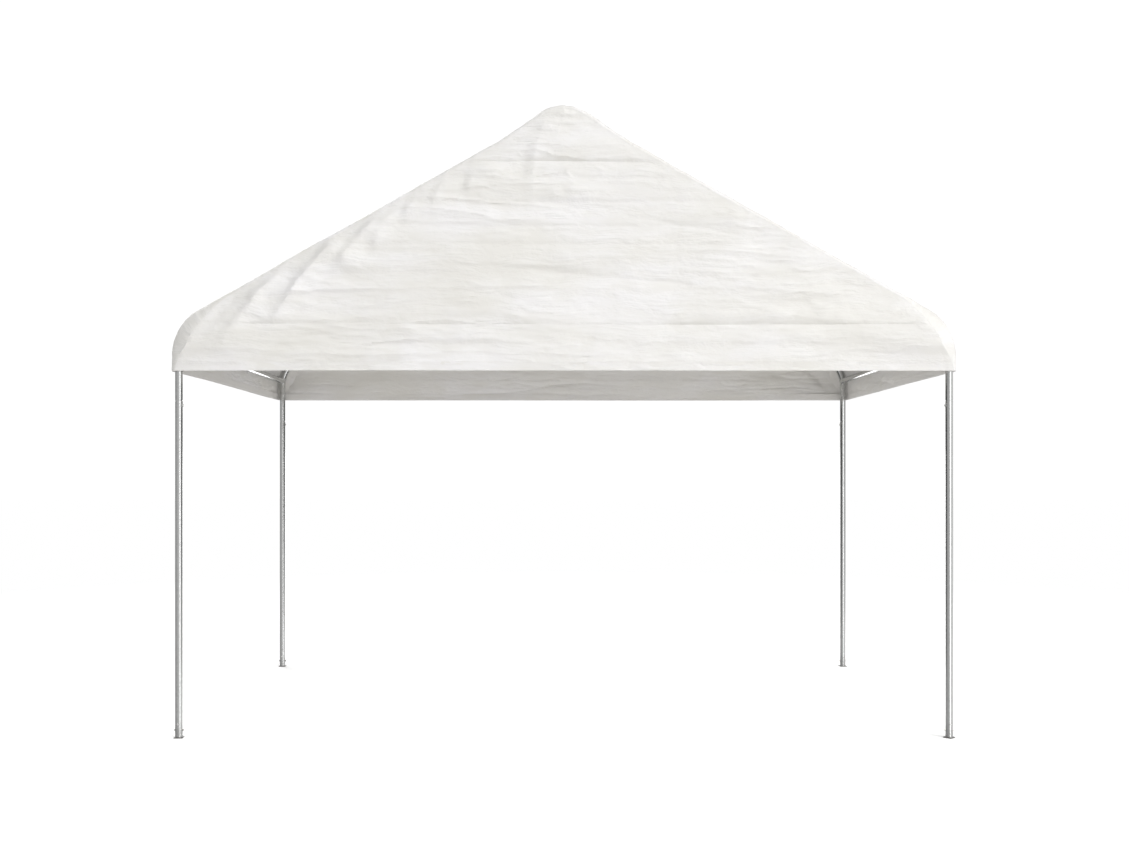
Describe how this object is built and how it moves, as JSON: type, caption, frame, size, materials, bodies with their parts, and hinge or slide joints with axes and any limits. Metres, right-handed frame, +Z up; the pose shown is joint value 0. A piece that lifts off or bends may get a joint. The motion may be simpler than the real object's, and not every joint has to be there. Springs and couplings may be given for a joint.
{
  "type": "gazebo",
  "caption": "Garden gazebo with a gable roof: upright steel tube legs on base plates, a bolted tube roof frame and a sewn white sheet cover with closed gables and side flaps.",
  "frame": {"origin": "on the ground, at the middle of the four legs", "axes": "+X across the gable to the right as seen from the front, +Y from the front gable to the rear one, +Z up"},
  "size_m": [4.076, 2.23, 3.2842],
  "materials": {
    "galvanised_tube": "hot-dip galvanised, satin, with a bright highlight along each tube",
    "zinc_fastener": "bright zinc plate",
    "cover_sheet": "white woven polyethylene sheet, coated, creased from its packing"
  },
  "bodies": {
    "leg_front_left": {"foot_front_left": "galvanised_tube", "leg_front_left": "galvanised_tube", "foot_bolt_front_left": "zinc_fastener", "foot_nut_front_left": "zinc_fastener", "leg_screw_front_left": "zinc_fastener"},
    "leg_front_right": {"foot_front_right": "galvanised_tube", "leg_front_right": "galvanised_tube", "foot_bolt_front_right": "zinc_fastener", "foot_nut_front_right": "zinc_fastener", "leg_screw_front_right": "zinc_fastener"},
    "leg_rear_left": {"foot_rear_left": "galvanised_tube", "leg_rear_left": "galvanised_tube", "foot_bolt_rear_left": "zinc_fastener", "foot_nut_rear_left": "zinc_fastener", "leg_screw_rear_left": "zinc_fastener"},
    "leg_rear_right": {"foot_rear_right": "galvanised_tube", "leg_rear_right": "galvanised_tube", "foot_bolt_rear_right": "zinc_fastener", "foot_nut_rear_right": "zinc_fastener", "leg_screw_rear_right": "zinc_fastener"},
    "snap_button_front_left": {"snap_button_front_left": "zinc_fastener"},
    "snap_button_front_right": {"snap_button_front_right": "zinc_fastener"},
    "snap_button_rear_left": {"snap_button_rear_left": "zinc_fastener"},
    "snap_button_rear_right": {"snap_button_rear_right": "zinc_fastener"},
    "roof_frame": {"corner_fitting_front_left": "galvanised_tube", "rafter_front_left": "galvanised_tube", "rafter_screw_low_front_left": "zinc_fastener", "rafter_screw_high_front_left": "zinc_fastener", "corner_fitting_front_right": "galvanised_tube", "rafter_front_right": "galvanised_tube", "rafter_screw_low_front_right": "zinc_fastener", "rafter_screw_high_front_right": "zinc_fastener", "corner_fitting_rear_left": "galvanised_tube", "rafter_rear_left": "galvanised_tube", "rafter_screw_low_rear_left": "zinc_fastener", "rafter_screw_high_rear_left": "zinc_fastener", "corner_fitting_rear_right": "galvanised_tube", "rafter_rear_right": "galvanised_tube", "rafter_screw_low_rear_right": "zinc_fastener", "rafter_screw_high_rear_right": "zinc_fastener", "ridge_fitting_front": "galvanised_tube", "ridge_fitting_rear": "galvanised_tube", "eave_purlin_left": "galvanised_tube", "eave_purlin_left_screw_front": "zinc_fastener", "eave_purlin_left_screw_rear": "zinc_fastener", "eave_purlin_right": "galvanised_tube", "eave_purlin_right_screw_front": "zinc_fastener", "eave_purlin_right_screw_rear": "zinc_fastener", "ridge_purlin": "galvanised_tube", "ridge_purlin_screw_front": "zinc_fastener", "ridge_purlin_screw_rear": "zinc_fastener"},
    "cover": {"cover_roof_left": "cover_sheet", "cover_roof_right": "cover_sheet", "cover_ridge": "cover_sheet", "cover_side_left": "cover_sheet", "cover_side_right": "cover_sheet", "cover_gable_front": "cover_sheet", "cover_gable_rear": "cover_sheet"}
  },
  "joints": [
    {"name": "frame_lift", "type": "slide", "parent": "leg_front_left", "child": "roof_frame", "axis": [0, 0, 1], "range_m": [0, 0.13]},
    {"name": "leg_front_right_pull", "type": "slide", "parent": "roof_frame", "child": "leg_front_right", "axis": [0, 0, -1], "range_m": [0, 0.13]},
    {"name": "leg_rear_left_pull", "type": "slide", "parent": "roof_frame", "child": "leg_rear_left", "axis": [0, 0, -1], "range_m": [0, 0.13]},
    {"name": "leg_rear_right_pull", "type": "slide", "parent": "roof_frame", "child": "leg_rear_right", "axis": [0, 0, -1], "range_m": [0, 0.13]},
    {"name": "cover_lift", "type": "slide", "parent": "roof_frame", "child": "cover", "axis": [0, 0, 1], "range_m": [0, 1.5]},
    {"name": "snap_button_front_left_press", "type": "slide", "parent": "leg_front_left", "child": "snap_button_front_left", "axis": [0, 1, 0], "range_m": [0, 0.0053], "stiffness_N_per_m": 600, "springref_m": -0.003},
    {"name": "snap_button_front_right_press", "type": "slide", "parent": "leg_front_right", "child": "snap_button_front_right", "axis": [0, 1, 0], "range_m": [0, 0.0053], "stiffness_N_per_m": 600, "springref_m": -0.003},
    {"name": "snap_button_rear_left_press", "type": "slide", "parent": "leg_rear_left", "child": "snap_button_rear_left", "axis": [0, 1, 0], "range_m": [0, 0.0053], "stiffness_N_per_m": 600, "springref_m": -0.003},
    {"name": "snap_button_rear_right_press", "type": "slide", "parent": "leg_rear_right", "child": "snap_button_rear_right", "axis": [0, 1, 0], "range_m": [0, 0.0053], "stiffness_N_per_m": 600, "springref_m": -0.003}
  ],
  "couplings": [
    {"joint": "leg_front_right_pull", "follows": "frame_lift", "ratio": 1},
    {"joint": "leg_rear_left_pull", "follows": "frame_lift", "ratio": 1},
    {"joint": "leg_rear_right_pull", "follows": "frame_lift", "ratio": 1}
  ]
}
